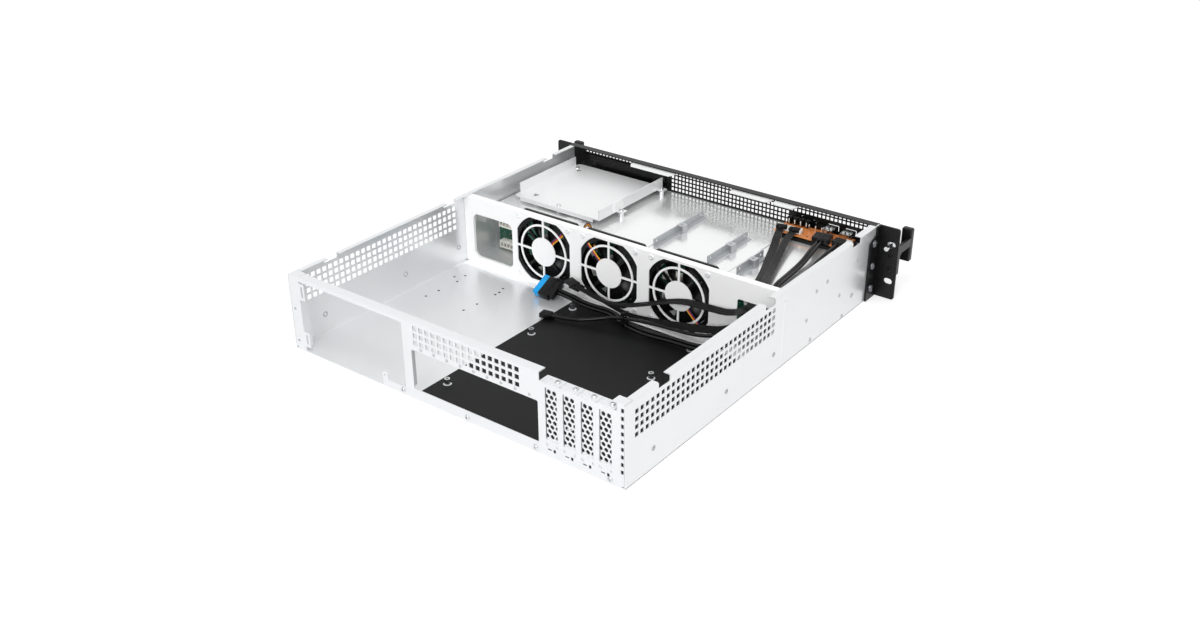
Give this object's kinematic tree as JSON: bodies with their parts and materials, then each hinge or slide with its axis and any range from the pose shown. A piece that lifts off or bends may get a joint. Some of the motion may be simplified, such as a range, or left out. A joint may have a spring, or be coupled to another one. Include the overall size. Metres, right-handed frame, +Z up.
{
  "type": "empty rackmount server case",
  "caption": "Open two-unit rackmount server case with a perforated folded chassis, fan wall, drive trays, rack ears with handles and front panel cables, top cover off.",
  "frame": {"origin": "under the middle of the case's outline, on the plane of its underside", "axes": "+Z up, front panel facing -Y, power supply bay on the +X side"},
  "size_m": [0.4826, 0.5174, 0.087],
  "materials": {
    "zinc_plated_steel": "bright zinc, satin",
    "screw_steel": "nickel plated",
    "black_painted_steel": "satin powder coat",
    "black_coated_aluminium": "black coated, satin",
    "chromed_screw": "polished",
    "black_plastic": "fine moulded texture",
    "white_plastic": "moulded nylon",
    "black_film": "matte film",
    "green_circuit_board": "solder mask",
    "orange_circuit_board": "solder mask",
    "cable_sheath": "soft sheath"
  },
  "bodies": {
    "case": {"chassis_pan": "zinc_plated_steel", "rear_panel": "zinc_plated_steel", "slot_covers": "zinc_plated_steel", "fan_wall": "zinc_plated_steel", "drive_cage": "zinc_plated_steel", "cage_dividers": "zinc_plated_steel", "cage_brackets": "zinc_plated_steel", "optical_tray": "zinc_plated_steel", "tray_posts": "zinc_plated_steel", "lid_catches": "zinc_plated_steel", "standoffs": "screw_steel", "panel_screws": "screw_steel", "fan_screws": "screw_steel", "front_panel": "black_painted_steel", "front_mesh": "black_painted_steel", "rack_ear_left": "black_painted_steel", "rack_ear_right": "black_painted_steel", "ear_fasteners": "black_painted_steel", "io_carrier": "black_painted_steel", "handle_left": "black_coated_aluminium", "handle_right": "black_coated_aluminium", "fan_housing_1": "black_plastic", "fan_housing_2": "black_plastic", "fan_housing_3": "black_plastic", "optical_bezel": "black_plastic", "usb_plug": "black_plastic", "cable_plugs": "black_plastic", "insulating_sheet": "black_film", "backplanes": "green_circuit_board", "io_board": "orange_circuit_board", "power_sockets": "white_plastic", "io_sockets": "black_plastic", "usb_cable": "cable_sheath", "audio_cable": "cable_sheath", "panel_leads_1": "cable_sheath", "panel_leads_2": "cable_sheath", "fan_lead": "cable_sheath"},
    "captive_screw_left": {"thumb_screw_left": "chromed_screw"},
    "captive_screw_right": {"thumb_screw_right": "chromed_screw"},
    "rotor_1": {"fan_rotor_1": "black_plastic"},
    "rotor_2": {"fan_rotor_2": "black_plastic"},
    "rotor_3": {"fan_rotor_3": "black_plastic"},
    "tray_1": {"drive_tray_1": "black_plastic"},
    "lever_1": {"tray_lever_1": "black_plastic"},
    "tray_2": {"drive_tray_2": "black_plastic"},
    "lever_2": {"tray_lever_2": "black_plastic"},
    "tray_3": {"drive_tray_3": "black_plastic"},
    "lever_3": {"tray_lever_3": "black_plastic"},
    "tray_4": {"drive_tray_4": "black_plastic"},
    "lever_4": {"tray_lever_4": "black_plastic"},
    "tray_5": {"drive_tray_5": "black_plastic"},
    "lever_5": {"tray_lever_5": "black_plastic"},
    "tray_6": {"drive_tray_6": "black_plastic"},
    "lever_6": {"tray_lever_6": "black_plastic"},
    "tray_7": {"drive_tray_7": "black_plastic"},
    "lever_7": {"tray_lever_7": "black_plastic"},
    "tray_8": {"drive_tray_8": "black_plastic"},
    "lever_8": {"tray_lever_8": "black_plastic"},
    "power_button_cap": {"power_button": "black_plastic"},
    "reset_button_cap": {"reset_button": "black_plastic"}
  },
  "joints": [
    {"name": "fan_1_spin", "type": "hinge", "parent": "case", "child": "rotor_1", "pos_m": [0.0952, -0.0176, 0.0446], "axis": [0, 1, 0], "continuous": true},
    {"name": "fan_2_spin", "type": "hinge", "parent": "case", "child": "rotor_2", "pos_m": [0.0026, -0.0176, 0.0446], "axis": [0, 1, 0], "continuous": true},
    {"name": "fan_3_spin", "type": "hinge", "parent": "case", "child": "rotor_3", "pos_m": [-0.09, -0.0176, 0.0446], "axis": [0, 1, 0], "continuous": true},
    {"name": "tray_1_slide", "type": "slide", "parent": "case", "child": "tray_1", "axis": [0, -1, 0], "range_m": [0, 0.15]},
    {"name": "lever_1_swing", "type": "hinge", "parent": "tray_1", "child": "lever_1", "pos_m": [-0.2068, -0.2238, 0.0145], "axis": [0, 0, -1], "range_deg": [0, 75]},
    {"name": "tray_2_slide", "type": "slide", "parent": "case", "child": "tray_2", "axis": [0, -1, 0], "range_m": [0, 0.15]},
    {"name": "lever_2_swing", "type": "hinge", "parent": "tray_2", "child": "lever_2", "pos_m": [-0.1008, -0.2238, 0.0145], "axis": [0, 0, -1], "range_deg": [0, 75]},
    {"name": "tray_3_slide", "type": "slide", "parent": "case", "child": "tray_3", "axis": [0, -1, 0], "range_m": [0, 0.15]},
    {"name": "lever_3_swing", "type": "hinge", "parent": "tray_3", "child": "lever_3", "pos_m": [0.0052, -0.2238, 0.0145], "axis": [0, 0, -1], "range_deg": [0, 75]},
    {"name": "tray_4_slide", "type": "slide", "parent": "case", "child": "tray_4", "axis": [0, -1, 0], "range_m": [0, 0.15]},
    {"name": "lever_4_swing", "type": "hinge", "parent": "tray_4", "child": "lever_4", "pos_m": [0.1112, -0.2238, 0.0145], "axis": [0, 0, -1], "range_deg": [0, 75]},
    {"name": "tray_5_slide", "type": "slide", "parent": "case", "child": "tray_5", "axis": [0, -1, 0], "range_m": [0, 0.15]},
    {"name": "lever_5_swing", "type": "hinge", "parent": "tray_5", "child": "lever_5", "pos_m": [-0.2068, -0.2238, 0.0418], "axis": [0, 0, -1], "range_deg": [0, 75]},
    {"name": "tray_6_slide", "type": "slide", "parent": "case", "child": "tray_6", "axis": [0, -1, 0], "range_m": [0, 0.15]},
    {"name": "lever_6_swing", "type": "hinge", "parent": "tray_6", "child": "lever_6", "pos_m": [-0.1008, -0.2238, 0.0418], "axis": [0, 0, -1], "range_deg": [0, 75]},
    {"name": "tray_7_slide", "type": "slide", "parent": "case", "child": "tray_7", "axis": [0, -1, 0], "range_m": [0, 0.15]},
    {"name": "lever_7_swing", "type": "hinge", "parent": "tray_7", "child": "lever_7", "pos_m": [0.0052, -0.2238, 0.0418], "axis": [0, 0, -1], "range_deg": [0, 75]},
    {"name": "tray_8_slide", "type": "slide", "parent": "case", "child": "tray_8", "axis": [0, -1, 0], "range_m": [0, 0.15]},
    {"name": "lever_8_swing", "type": "hinge", "parent": "tray_8", "child": "lever_8", "pos_m": [0.1112, -0.2238, 0.0418], "axis": [0, 0, -1], "range_deg": [0, 75]},
    {"name": "power_button_press", "type": "slide", "parent": "case", "child": "power_button_cap", "axis": [0, 1, 0], "range_m": [0, 0.0015], "stiffness_N_per_m": 300},
    {"name": "reset_button_press", "type": "slide", "parent": "case", "child": "reset_button_cap", "axis": [0, 1, 0], "range_m": [0, 0.0015], "stiffness_N_per_m": 300},
    {"name": "captive_screw_left_draw", "type": "slide", "parent": "case", "child": "captive_screw_left", "axis": [0, -1, 0], "range_m": [0, 0.005]},
    {"name": "captive_screw_right_draw", "type": "slide", "parent": "case", "child": "captive_screw_right", "axis": [0, -1, 0], "range_m": [0, 0.005]}
  ]
}
